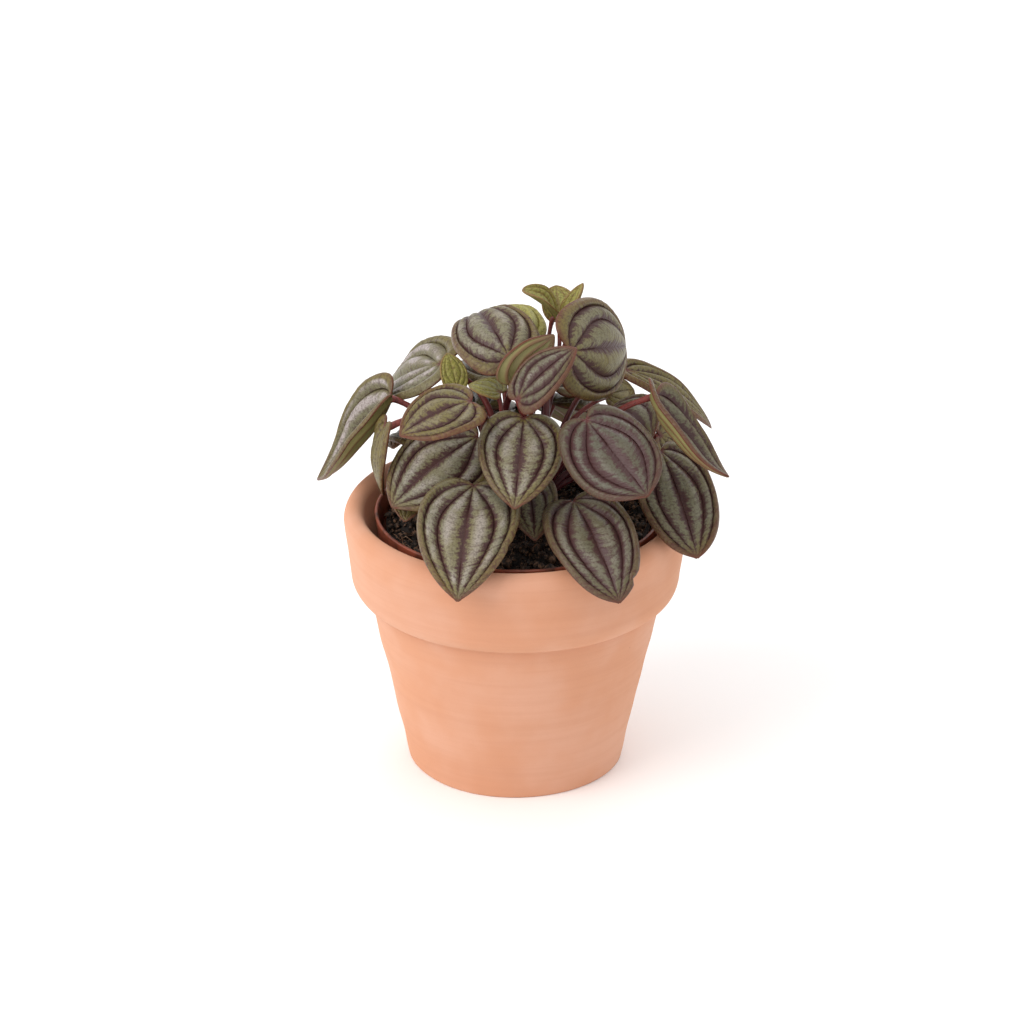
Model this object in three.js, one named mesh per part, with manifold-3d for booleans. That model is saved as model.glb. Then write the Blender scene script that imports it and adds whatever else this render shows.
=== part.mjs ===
// Potted peperomia: a small quilted-leaf plant in its thin grower's pot, which
// stands in a thick terracotta pot. Millimetres, +Z up. The origin is on the axis of
// the terracotta pot, at the level of the surface that it stands on.
import * as THREE from 'three';
import { mergeVertices } from 'three/addons/utils/BufferGeometryUtils.js';
import Module from 'manifold-3d';

const wasm = await Module();
wasm.setup();

// ---------------------------------------------------------------- driving dimensions

const GAP = 0.3;                 // clearance between pieces that touch in real life
const ROUND_GAP = 0.4;           // the same between two faceted round walls
const SAME_POINT = 1e-4;         // points closer than this are one point

// Terracotta pot: an 11 cm clay pot
const CLAY = {
  height: 88,
  footRadius: 34.6,
  shoulderRadius: 47.3,          // top of the tapered body
  shoulderZ: 59,
  collarRadius: 53,              // where the rounding under the collar ends
  collarZ: 66,
  rimRadius: 55,
  rimZ: 84,
  lipInnerRadius: 48.5,
  floorThickness: 8,
  floorRadius: 29.5,             // inside, at the floor
  edgeRound: 0.8,
  drainRadius: 6,
  segments: 44,
};

// Grower's pot: a 9 cm thin moulded pot, a little off the middle
const GROWER = {
  x: 0.8,
  y: 0.3,
  footRadius: 28,
  bodyRadius: 43.2,              // top of the tapered body
  rimFootRadius: 44.8,           // lower edge of the rim band
  rimRadius: 46,
  rimDepth: 8.5,
  height: 78,
  wall: 1.1,
  footRound: 1.5,
  drainRadius: 3,
  drainCircle: 19,
  drainHoles: 6,
  drainSides: 10,
  segments: 40,
};

// Soil: the root ball, with an uneven top
const SOIL = {
  topZ: 82,
  crownInset: 8,                 // depth of the crown's plain hole
  rings: [0.85, 0.65, 0.45, 0.25],   // where the top bends, from the hole (0) to the wall (1)
  unevenness: 1.1,
  waveLengthX: 17,
  waveLengthY: 13,
};

// Crown: the short thick stem that all the stalks grow from
const CROWN = {
  radius: 6,
  footRound: 1,
  shoulderZ: 83,
  topZ: 87.8,
  segments: 16,
};

// Stalks: from a ring inside the crown to the notch of each leaf
const STALK = {
  rootCircle: 4.5,
  rootZ: 83,
  rootRadius: 1.3,
  endRadius: 0.9,
  sides: 6,
  steps: 7,
  lean: 0.4,                     // how far a stalk leans outwards as it leaves the crown
  rise: 0.45,                    // length of its upright start, as a share of its span
  reach: 0.35,                   // length of its straight end, as a share of its span
  arrive: 45,                    // degrees between the stalk's end and the blade
};

// Blades
const BLADE = {
  thickness: 0.9,
  puff: 0.03,                    // height of the quilting, as a share of the leaf's length
  puffFade: 0.7,                 // below 1, the quilting stays full until near the ends
  hookStart: 0.7,                // where a hooked tip starts to drop, as a share of length
  panels: 6,                     // raised panels between the seven main veins
  columns: 12,                   // grid across the blade, two columns to a panel
  rows: 5,
  smallRows: 4,
  smallWidth: 18,
  lobe: 0.56,                    // how far the base lobes swell
  blunt: 0.70,                   // how broad the blade stays near its tip
  baseAngle: 138,                // from the leaf's axis to the edge of its notch
  pointAngle: 60,                // from the leaf's axis to its edge at the tip
  spread: 0.15,                  // how far the inner veins lie outwards of an even spacing
  veinSteps: [0.5674, 0.3851, 0.0475],   // of v, v^3 and v^5: side veins at 0.5 and 0.8
  halvings: 40,                  // steps to find a column's place
  youngPuff: 0.4,                // how much lower the quilting of a young leaf is
};

// Each leaf: joint is where its stalk meets the blade and tip is its point. roll turns
// the blade about that line, in degrees, away from lying face up. cup lifts its edges,
// curl arches it from joint to tip and hook drops its tip. stalk says how its stalk
// runs: from is the compass angle of its root on the crown, in degrees from +X.
const LEAVES = [
  // Low ring, at the front and over the rim
  { joint: [-13, -28, 107], tip: [-18, -63, 84], width: 31, roll: 0, curl: 5, cup: -2,
    stalk: { from: -115, rise: 0.3, reach: 0.5, arrive: 75 } },
  { joint: [18, -29, 102], tip: [32, -62, 83], width: 26, roll: -12, curl: 5, cup: -1,
    pointAngle: 74, stalk: { from: -60 } },
  { joint: [2.5, -16, 125], tip: [-0.5, -45, 107], width: 26, roll: 5, curl: 3, cup: -3,
    stalk: { from: -75 } },
  { joint: [22, -28, 129.5], tip: [40.5, -52, 114.5], width: 27, roll: -24, curl: 1, cup: -4,
    baseAngle: 150, pointAngle: 70, stalk: { from: -50, arrive: 70 } },
  { joint: [46, -4, 108], tip: [57, -34, 85], width: 24, roll: -6, curl: 3, cup: -2,
    baseAngle: 145, pointAngle: 74, stalk: { from: -5 } },
  { joint: [4, -14, 103], tip: [6, -34, 91], width: 16, roll: 0, curl: 2,
    stalk: { from: -75 } },

  // Right side
  { joint: [44, -12, 131], tip: [66.2, -36, 114], width: 22, roll: 31, curl: -5, cup: 5,
    stalk: { from: -20, rise: 0.45, reach: 0.3, arrive: 85 } },
  { joint: [35.5, 28, 122.5], tip: [64, 40, 97], width: 14, roll: -22, curl: 3,
    baseAngle: 125, stalk: { from: -5, arrive: 20 } },
  { joint: [46, 16, 105], tip: [60, 30, 90], width: 20, roll: -60, curl: 2,
    stalk: { from: 25 } },
  { joint: [31, 6, 119], tip: [43, -6, 113.5], width: 21, roll: -10, curl: 3,
    stalk: { from: -5, arrive: 70 } },
  { joint: [29, 14, 120], tip: [38, 23, 118], width: 11, roll: -45, curl: 1,
    stalk: { from: 30, arrive: 20 } },

  // Top
  { joint: [17, -2, 142], tip: [35, 26, 132], width: 32, roll: -72, curl: 4, cup: -4,
    pointAngle: 70, stalk: { from: -5, reach: 0.2 } },
  { joint: [1, -20, 133], tip: [19, -14, 148], width: 17, roll: -22, curl: 2, cup: -1,
    baseAngle: 130, stalk: { from: 45, reach: 0.2, arrive: 75 } },
  { joint: [-2, -4, 140.4], tip: [-13.5, 25, 145], width: 26, roll: 14, curl: 4, cup: -3,
    hook: 4, pointAngle: 70, stalk: { from: 115, rise: 0.75, arrive: 60 } },
  { joint: [3, 26, 135], tip: [-9, 44, 137], width: 20, roll: 0, curl: 3,
    stalk: { from: 85, arrive: 0 } },
  { joint: [-1.6, -9.7, 133.7], tip: [11.9, -1.7, 147.5], width: 20, roll: 70, curl: -2, cup: 3,
    stalk: { from: -45, reach: 0.2, arrive: 90 } },
  { joint: [-14, -24, 134], tip: [-36, -32, 126], width: 22, roll: 18, curl: 2, cup: -1,
    stalk: { from: 150, rise: 0.75 } },

  // Left side
  { joint: [-12, -4, 113], tip: [-39, -22, 97], width: 31, roll: 18, curl: 3, cup: -3,
    pointAngle: 68, stalk: { from: -160 } },
  { joint: [-40, 14, 119], tip: [-64.3, 20.5, 87.5], width: 24, roll: 16, curl: -3, cup: 7,
    stalk: { from: 160, reach: 0.2, arrive: 90 } },
  { joint: [-24, 20, 128], tip: [-44, 44, 105], width: 27, roll: 34, curl: 3,
    baseAngle: 150, stalk: { from: 140, rise: 0.3, reach: 0.5, arrive: 35 } },
  { joint: [-41, -3, 117], tip: [-42, -6, 94], width: 18, roll: -60, curl: 2,
    stalk: { from: 95, rise: 0.6, reach: 0.5 } },
  { joint: [-32, -8, 100], tip: [-35, -22, 92], width: 12, roll: 0, curl: 1,
    stalk: { from: -165 } },

  // Young leaves inside and at the top
  { joint: [-19, 11, 124], tip: [-22, 18, 133], width: 9, roll: 0, curl: 1, young: true,
    stalk: { from: 20, rise: 0.6, reach: 0.2, arrive: 20 } },
  { joint: [-5, 2, 126], tip: [-15, 6, 127], width: 13, roll: 0, curl: 1, young: true,
    stalk: { from: 160 } },
  { joint: [13, 26, 142], tip: [2, 22, 153], width: 9, roll: 20, curl: 1, cup: 3,
    pointAngle: 85, young: true, stalk: { from: 40, reach: 0.2 } },
  { joint: [14, 29, 140], tip: [13, 36, 149], width: 11, roll: 0, cup: 2, pointAngle: 75,
    young: true, stalk: { from: 65, arrive: 0 } },
  { joint: [17, 23.5, 142], tip: [21.5, 25.5, 154], width: 8, roll: 0, cup: 2, young: true,
    stalk: { from: 55, arrive: 0 } },

  // Back
  { joint: [25, 14, 99], tip: [53, 35, 83], width: 28, roll: 0, curl: 5, cup: -3,
    stalk: { from: 30 } },
  { joint: [11.6, 28, 111.3], tip: [23, 60, 86], width: 28, roll: 0, curl: 5, cup: -3,
    stalk: { from: 65 } },
  { joint: [-7.4, 29, 107], tip: [-14.6, 62.6, 87], width: 26, roll: 0, curl: 5, cup: -3,
    stalk: { from: 105 } },
  { joint: [-24, 17, 103], tip: [-40, 37, 91], width: 21, roll: 0, curl: 5, cup: -2,
    stalk: { from: 150 } },
  { joint: [11.2, 24.6, 118.5], tip: [22, 55, 106], width: 25, roll: 0, curl: 4, cup: -3,
    stalk: { from: 70, arrive: 70 } },
  { joint: [-4, 20, 124], tip: [-12, 54, 113], width: 23, roll: 0, curl: 4, cup: -3,
    stalk: { from: 100 } },
  { joint: [-13, 15, 115], tip: [-32, 44, 102], width: 25, roll: 0, curl: 4, cup: -3,
    stalk: { from: 130 } },
];

// Finishes
const FINISHES = {
  terracotta: { color: 0xd79a7c, roughness: 0.9, metalness: 0 },
  growerPlastic: { color: 0x9a5238, roughness: 0.55, metalness: 0 },
  soil: { color: 0x2c211b, roughness: 1, metalness: 0 },
  stalk: { color: 0x7c2f3a, roughness: 0.45, metalness: 0 },
  blade: { color: 0x5b6148, roughness: 0.4, metalness: 0 },
  youngBlade: { color: 0xa8bf62, roughness: 0.45, metalness: 0 },
};

// ---------------------------------------------------------------- small helpers

const radians = THREE.MathUtils.degToRad;
const vector = (values) => new THREE.Vector3(...values);

/** The geometry as plain shared points and triangles. */
function merged(geometry) {
  geometry.deleteAttribute('normal');
  geometry.deleteAttribute('uv');
  return mergeVertices(geometry, SAME_POINT);
}

/** A solid that can be cut and joined, from a closed geometry. */
function solidOf(geometry) {
  const plain = merged(geometry);
  return new wasm.Manifold(new wasm.Mesh({
    numProp: 3,
    vertProperties: new Float32Array(plain.attributes.position.array),
    triVerts: new Uint32Array(plain.index.array),
  }));
}

/** The geometry of a cut or joined solid. */
function geometryOf(solid) {
  const mesh = solid.getMesh();
  return indexedGeometry(mesh.vertProperties, mesh.triVerts);
}

function indexedGeometry(points, triangles) {
  const geometry = new THREE.BufferGeometry();
  geometry.setAttribute('position', new THREE.Float32BufferAttribute(points, 3));
  geometry.setIndex(Array.from(triangles));
  return geometry;
}

/** A profile of [radius, height] points, turned about the Z axis. */
function turned(profile, segments) {
  const points = profile.map(([radius, height]) => new THREE.Vector2(radius, height));
  return merged(new THREE.LatheGeometry(points, segments).rotateX(Math.PI / 2));
}

/** An upright round plug, for cutting a hole. */
function plug(radius, bottom, top, sides) {
  return new THREE.CylinderGeometry(radius, radius, top - bottom, sides)
    .rotateX(Math.PI / 2)
    .translate(0, 0, (bottom + top) / 2);
}

function mesh(name, geometry, finish) {
  const item = new THREE.Mesh(geometry, new THREE.MeshStandardMaterial(finish));
  item.name = name;
  return item;
}

// ---------------------------------------------------------------- pots and soil

/** Tapered body, collar that swells out over a short rounding, rounded lip. */
function terracottaPot() {
  const c = CLAY;
  const lipMiddle = (c.rimRadius + c.lipInnerRadius) / 2;
  const lipHalf = (c.rimRadius - c.lipInnerRadius) / 2;
  const lipDrop = c.height - c.rimZ;
  const lip = [0, 36, 72, 108, 144, 180].map((angle) => [
    lipMiddle + lipHalf * Math.cos(radians(angle)),
    c.rimZ + lipDrop * Math.sin(radians(angle)),
  ]);
  const collarStep = c.collarRadius - c.shoulderRadius;
  const collarRise = c.collarZ - c.shoulderZ;
  const collar = [0, 30, 60, 90].map((angle) => [
    c.shoulderRadius + collarStep * Math.sin(radians(angle)),
    c.collarZ - collarRise * Math.cos(radians(angle)),
  ]);
  return turned([
    [c.drainRadius, c.floorThickness],
    [c.drainRadius, 0],
    [c.footRadius - c.edgeRound, 0],
    [c.footRadius, c.edgeRound],
    ...collar,
    ...lip,
    [c.floorRadius + c.edgeRound, c.floorThickness + 2 * c.edgeRound],
    [c.floorRadius - c.edgeRound, c.floorThickness],
    [c.drainRadius, c.floorThickness],
  ], c.segments);
}

const growerFoot = CLAY.floorThickness + GAP;
const growerTop = growerFoot + GROWER.height;

/** Radius of the inside of the grower's pot at a height, up to its rim band. */
function growerInside(z) {
  const bodyTop = growerTop - GROWER.rimDepth;
  const share = (z - growerFoot) / (bodyTop - growerFoot);
  return THREE.MathUtils.lerp(GROWER.footRadius, GROWER.bodyRadius, share) - GROWER.wall;
}

/** Thin tapered cup with a rim band and a circle of drain holes. */
function growerPot() {
  const g = GROWER;
  const bodyTop = growerTop - g.rimDepth;
  const innerFloor = growerFoot + g.wall;
  const cup = solidOf(turned([
    [0, growerFoot],
    [g.footRadius - g.footRound, growerFoot],
    [g.footRadius, growerFoot + g.footRound],
    [g.bodyRadius, bodyTop],
    [g.rimFootRadius, bodyTop],
    [g.rimRadius, growerTop],
    [g.rimRadius - g.wall, growerTop],
    [g.rimFootRadius - g.wall, bodyTop + g.wall],
    [g.bodyRadius - g.wall, bodyTop],
    [growerInside(innerFloor + g.footRound), innerFloor + g.footRound],
    [g.footRadius - g.footRound - g.wall, innerFloor],
    [0, innerFloor],
  ], g.segments));
  let pot = cup;
  for (let i = 0; i < g.drainHoles; i += 1) {
    const angle = (i + 0.5) * 2 * Math.PI / g.drainHoles;
    const hole = plug(g.drainRadius, growerFoot - g.wall, innerFloor + g.wall, g.drainSides)
      .translate(g.drainCircle * Math.cos(angle), g.drainCircle * Math.sin(angle), 0);
    pot = pot.subtract(solidOf(hole));
  }
  return geometryOf(pot).translate(g.x, g.y, 0);
}

/** The root ball fills the grower's pot, with a plain hole for the crown. Its top is
 *  a smooth run of low waves, which die away at the wall and at the hole. */
function soil() {
  const floor = growerFoot + GROWER.wall + GAP;
  const holeRadius = CROWN.radius + ROUND_GAP;
  const edge = growerInside(SOIL.topZ) - ROUND_GAP;
  const rings = SOIL.rings.map((share) => [
    THREE.MathUtils.lerp(holeRadius, edge, share), SOIL.topZ,
  ]);
  const geometry = turned([
    [0, floor],
    [GROWER.footRadius - GROWER.footRound - GROWER.wall - ROUND_GAP, floor],
    [growerInside(floor + GROWER.footRound) - ROUND_GAP, floor + GROWER.footRound],
    [edge, SOIL.topZ],
    ...rings,
    [holeRadius, SOIL.topZ],
    [holeRadius, SOIL.topZ - SOIL.crownInset - GAP],
    [0, SOIL.topZ - SOIL.crownInset - GAP],
  ], GROWER.segments);
  const points = geometry.attributes.position;
  for (let i = 0; i < points.count; i += 1) {
    const x = points.getX(i);
    const y = points.getY(i);
    const share = (Math.hypot(x, y) - holeRadius) / (edge - holeRadius);
    if (points.getZ(i) < SOIL.topZ || share <= 0 || share >= 1) continue;
    const wave = (Math.sin(Math.PI * x / SOIL.waveLengthX)
      + Math.cos(Math.PI * y / SOIL.waveLengthY)) / 2;
    points.setZ(i, SOIL.topZ + SOIL.unevenness * wave * Math.sin(Math.PI * share));
  }
  return geometry.translate(GROWER.x, GROWER.y, 0);
}

// ---------------------------------------------------------------- leaves

/** A leaf's own axes: along runs from joint to tip, up is the blade's upper side. */
function leafAxes(leaf) {
  const joint = vector(leaf.joint);
  const along = vector(leaf.tip).sub(joint);
  const length = along.length();
  along.normalize();
  const up = new THREE.Vector3(0, 0, 1).addScaledVector(along, -along.z).normalize();
  up.applyAxisAngle(along, -radians(leaf.roll));
  const across = new THREE.Vector3().crossVectors(up, along);
  return { joint, along, across, up, length };
}

/** v spread so that each panel is a third wide: 0, 1/3, 2/3 and 1 at the midrib, at the two
 *  side veins and at the edge. */
function panelSteps(v) {
  const [first, third, fifth] = BLADE.veinSteps;
  return first * v + third * v ** 3 + fifth * v ** 5;
}

/** The v of a grid column, which lies on a vein or half way over a panel. It is the v whose
 *  panelSteps are even from column to column, found by halving. */
function columnPlace(column) {
  const wanted = 2 * column / BLADE.columns - 1;
  let [low, high] = [-1, 1];
  for (let i = 0; i < BLADE.halvings; i += 1) {
    const middle = (low + high) / 2;
    if (panelSteps(middle) < wanted) low = middle;
    else high = middle;
  }
  return (low + high) / 2;
}

/** A point of the blade's middle surface. t runs from the joint (0) to the tip (1) and
 *  v from one edge (-1) over the midrib to the other edge (1). Each line of constant v is a
 *  cubic Bezier curve from joint to tip, as the main veins are. Its two handles swing
 *  evenly from the midrib's direction to the edge's, so that no two lines cross. Half way,
 *  both inner Bezier weights are 3/8, and the blade has its width there. */
function bladePoint(leaf, axes, t, v) {
  const base = radians(leaf.baseAngle ?? BLADE.baseAngle);
  const point = radians(leaf.pointAngle ?? BLADE.pointAngle);
  const first = 3 * (1 - t) ** 2 * t;
  const second = 3 * (1 - t) * t ** 2;
  const ahead = (angle) => 1 + (Math.cos(angle) - 1) * v ** 2;
  const aside = (angle) => Math.sin(angle) * v * (1 + BLADE.spread * (1 - v ** 2));
  const run = axes.length * (first * BLADE.lobe * ahead(base)
    + second * (1 - BLADE.blunt * ahead(point)) + t ** 3);
  const bow = first * BLADE.lobe * aside(base) + second * BLADE.blunt * aside(point);
  const widest = 2 * 3 / 8 * (BLADE.lobe * Math.sin(base) + BLADE.blunt * Math.sin(point));
  const side = leaf.width * bow / widest;
  const share = run / axes.length;
  const quilting = axes.length * BLADE.puff * (leaf.young ? BLADE.youngPuff : 1)
    * Math.abs(Math.sin(BLADE.panels / 2 * Math.PI * panelSteps(v))) * Math.sin(Math.PI * t) ** BLADE.puffFade;
  const pastHook = Math.max(0, (share - BLADE.hookStart) / (1 - BLADE.hookStart));
  const lift = (leaf.cup ?? 0) * (2 * side / leaf.width) ** 2
    + (leaf.curl ?? 0) * 4 * share * (1 - share)
    - (leaf.hook ?? 0) * pastHook ** 2
    + quilting;
  return axes.joint.clone()
    .addScaledVector(axes.along, run)
    .addScaledVector(axes.across, side)
    .addScaledVector(axes.up, lift);
}

/** The blade: its middle surface moved half a thickness to each side, both faces split
 *  into the same triangles, and closed by a narrow edge. */
function blade(leaf) {
  const axes = leafAxes(leaf);
  const rows = leaf.width <= BLADE.smallWidth ? BLADE.smallRows : BLADE.rows;
  const columns = BLADE.columns;
  const middle = [bladePoint(leaf, axes, 0, 0), bladePoint(leaf, axes, 1, 0)];
  const at = (row, column) => {
    if (row === 0) return 0;
    if (row === rows) return 1;
    return 2 + (row - 1) * (columns + 1) + column;
  };
  for (let row = 1; row < rows; row += 1) {
    for (let column = 0; column <= columns; column += 1) {
      middle.push(bladePoint(leaf, axes, row / rows, columnPlace(column)));
    }
  }
  const face = [];
  for (let row = 0; row < rows; row += 1) {
    for (let column = 0; column < columns; column += 1) {
      const [a, b] = [at(row, column), at(row, column + 1)];
      const [c, d] = [at(row + 1, column), at(row + 1, column + 1)];
      if (row > 0) face.push([a, c, b]);
      if (row < rows - 1) face.push([b, c, d]);
    }
  }
  const sheet = indexedGeometry(middle.flatMap((p) => p.toArray()), face.flat());
  sheet.computeVertexNormals();
  const normal = sheet.attributes.normal;
  const half = BLADE.thickness / 2;
  const offset = (distance) => middle.flatMap((p, i) => p.clone()
    .addScaledVector(new THREE.Vector3().fromBufferAttribute(normal, i), distance)
    .toArray());
  const under = middle.length;
  const underFace = face.flatMap(([a, b, c]) => [a + under, c + under, b + under]);
  const triangles = [...face.flat(), ...underFace];
  for (let row = 0; row < rows; row += 1) {
    const [left, leftNext] = [at(row, 0), at(row + 1, 0)];
    const [right, rightNext] = [at(row, columns), at(row + 1, columns)];
    triangles.push(left, left + under, leftNext + under, left, leftNext + under, leftNext);
    triangles.push(right, rightNext + under, right + under, right, rightNext, rightNext + under);
  }
  return indexedGeometry([...offset(half), ...offset(-half)], triangles);
}

/** A leaf's stalk: a tapered round rod on a cubic Bezier curve, which starts inside the
 *  crown and ends just below the joint, square to the blade as it is tilted there. */
function stalk(leaf) {
  const axes = leafAxes(leaf);
  const { from, rise, reach, arrive } = { ...STALK, ...leaf.stalk };
  const outward = new THREE.Vector3(Math.cos(radians(from)), Math.sin(radians(from)), 0);
  const root = outward.clone().multiplyScalar(STALK.rootCircle).setZ(STALK.rootZ);
  const start = outward.clone().multiplyScalar(STALK.lean).setZ(1).normalize();
  const slope = radians(arrive);
  const tilt = Math.atan(4 * (leaf.curl ?? 0) / axes.length);
  const bladeNormal = axes.up.clone().applyAxisAngle(axes.across, -tilt);
  const finish = axes.along.clone().applyAxisAngle(axes.across, -tilt - slope);
  const below = BLADE.thickness / 2 + GAP + STALK.endRadius * Math.cos(slope);
  const end = axes.joint.clone().addScaledVector(bladeNormal, -below);
  const span = end.distanceTo(root);
  const curve = new THREE.CubicBezierCurve3(
    root,
    root.clone().addScaledVector(start, rise * span),
    end.clone().addScaledVector(finish, -reach * span),
    end,
  );
  return taperedRod(curve, STALK.rootRadius, STALK.endRadius, STALK.steps, STALK.sides);
}

function taperedRod(curve, startRadius, endRadius, steps, sides) {
  const frames = curve.computeFrenetFrames(steps, false);
  const points = [];
  for (let step = 0; step <= steps; step += 1) {
    const centre = curve.getPointAt(step / steps);
    const radius = THREE.MathUtils.lerp(startRadius, endRadius, step / steps);
    for (let side = 0; side < sides; side += 1) {
      const angle = 2 * Math.PI * side / sides;
      points.push(...centre.clone()
        .addScaledVector(frames.normals[step], radius * Math.cos(angle))
        .addScaledVector(frames.binormals[step], radius * Math.sin(angle))
        .toArray());
    }
  }
  const last = steps * sides;
  const triangles = [];
  for (let side = 0; side < sides; side += 1) {
    const next = (side + 1) % sides;
    for (let step = 0; step < steps; step += 1) {
      const [a, b] = [step * sides + side, step * sides + next];
      triangles.push(a, b, b + sides, a, b + sides, a + sides);
    }
    if (side > 0 && side < sides - 1) {
      triangles.push(0, next, side, last, last + side, last + next);
    }
  }
  return indexedGeometry(points, triangles);
}

/** The crown's domed knob with every stalk grown from it, as one body. */
function crownAndStalks() {
  const c = CROWN;
  const bottom = SOIL.topZ - SOIL.crownInset;
  const dome = [0, 30, 60, 90].map((angle) => [
    c.radius * Math.cos(radians(angle)),
    c.shoulderZ + (c.topZ - c.shoulderZ) * Math.sin(radians(angle)),
  ]);
  const knob = turned([
    [0, bottom],
    [c.radius - c.footRound, bottom],
    [c.radius, bottom + c.footRound],
    ...dome,
  ], c.segments).translate(GROWER.x, GROWER.y, 0);
  let plant = solidOf(knob);
  for (const leaf of LEAVES) plant = plant.add(solidOf(stalk(leaf)));
  return geometryOf(plant);
}

// ---------------------------------------------------------------- the whole object

const peperomia = new THREE.Group();
peperomia.add(
  mesh('terracotta_pot', terracottaPot(), FINISHES.terracotta),
  mesh('nursery_pot', growerPot(), FINISHES.growerPlastic),
  mesh('soil', soil(), FINISHES.soil),
  mesh('crown_and_petioles', crownAndStalks(), FINISHES.stalk),
);
LEAVES.forEach((leaf, index) => {
  const name = `leaf_${String(index + 1).padStart(2, '0')}`;
  const finish = leaf.young ? FINISHES.youngBlade : FINISHES.blade;
  peperomia.add(mesh(name, blade(leaf), finish));
});

export default peperomia;
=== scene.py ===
"""Potted peperomia: fine blades, stalks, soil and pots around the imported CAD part.

The pot's axis is the origin, +Z is up and +Y points away from the camera. Shapes are
worked out in millimetres and are put into the meshes in metres.
"""
import math

import bpy
import numpy as np
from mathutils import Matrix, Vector


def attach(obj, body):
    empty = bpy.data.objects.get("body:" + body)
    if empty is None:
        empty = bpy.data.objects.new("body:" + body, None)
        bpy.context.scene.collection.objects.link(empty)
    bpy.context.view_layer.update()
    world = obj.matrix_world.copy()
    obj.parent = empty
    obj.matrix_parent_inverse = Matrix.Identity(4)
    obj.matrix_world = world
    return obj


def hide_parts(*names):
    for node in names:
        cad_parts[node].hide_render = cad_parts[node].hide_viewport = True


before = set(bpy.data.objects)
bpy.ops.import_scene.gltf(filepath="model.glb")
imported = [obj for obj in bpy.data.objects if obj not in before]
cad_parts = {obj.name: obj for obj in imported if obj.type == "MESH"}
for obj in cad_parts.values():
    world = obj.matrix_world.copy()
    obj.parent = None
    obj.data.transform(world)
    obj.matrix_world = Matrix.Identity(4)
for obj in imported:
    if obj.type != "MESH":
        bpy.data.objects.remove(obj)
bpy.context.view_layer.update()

# ------------------------------------------------------------------ real sizes, in mm

MM = 0.001

# The two pots, the soil and the crown, as in the part's source. drain_edge, crumb_edge
# and root_edge are the scene's own: a small bevel, and how far out loose soil and roots lie.
CLAY = dict(height=88, foot=34.6, shoulder=47.3, shoulder_z=59, collar=53, collar_z=66,
            rim=55, rim_z=84, lip_inner=48.5, floor=8, floor_radius=29.5, edge=0.8, drain=6,
            drain_edge=0.5)
GROWER = dict(x=0.8, y=0.3, foot_z=8.3, top_z=86.3, foot=28, body=43.2, rim_foot=44.8,
              rim=46, rim_depth=8.5, wall=1.1, foot_round=1.5)
SOIL = dict(top=82, floor=9.7, hole=6.4, hole_floor=73.7, edge=42.6, wave=1.1,
            wave_x=17, wave_y=13, crumb_edge=41.4, root_edge=41.1)
CROWN = dict(radius=6, foot_z=74, shoulder_z=83, top_z=87.8)

# Stalks and blades, as in the part's source, but with a puff of 0.046 where the coarse
# solids have 0.03
STALK = dict(root_circle=4.5, root_z=83, root=1.3, end=0.9, lean=0.4, rise=0.45,
             reach=0.35, arrive=45, gap=0.3)
BLADE = dict(half=0.45, puff=0.046, puff_fade=0.7, young_puff=0.4, hook_start=0.7, lobe=0.56,
             blunt=0.70, base_angle=138, point_angle=60, spread=0.15)
VEINS = (-0.8, -0.5, 0, 0.5, 0.8)
VEIN_STEPS = (0.5674, 0.3851, 0.0475)      # of v, v^3 and v^5, see panel_steps

# Fine relief that only the scene has. puff_power rounds the panels, tear is in t, wave and
# its size are shares of the blade's length, cross_slant and cross_bend are plain numbers,
# and the rest is in mm.
RELIEF = dict(puff_power=1.2, tear=0.02, wave=0.012, wave_size=0.55, cross_vein=0.07,
              cross_step=2.6, cross_slant=0.8, cross_bend=1.5, cross_bend_size=9,
              valley=0.08, valley_width=0.5, ridge=0.3, ridge_width=0.45)
# Where a stalk swells into the joint: by how many mm, over what share of its length, and
# how far its end lies up in the blade and along it
KNOB = dict(swell=0.35, reach=0.05, up=0.25, along=0.5)
USUAL_WIDTH = 28                           # of a blade whose cross-veins are of full height
SMALL_LEAF = 15                            # width below which blade and stalk are slighter,
SMALL_BLADE, SMALL_STALK = 0.75, 0.7       # by these shares
NOISE_STEP = 31.0                          # from one leaf to the next in the noise

# How fine the meshes are: points along and points round
BLADE_ROWS, SMALL_BLADE_ROWS = 56, 36
PANEL_POINTS = 10
STALK_ROWS, STALK_SIDES = 34, 14
CROWN_SIDES, CLAY_SIDES, GROWER_SIDES, SOIL_SIDES = 48, 224, 160, 264
SOIL_RINGS = 74
ROOT_ROWS, ROOT_SIDES = 12, 5
ROOT_LENGTH = 12
CENTRE_RING = 1.0                          # radius of the points next to a turned shape's pole

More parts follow.
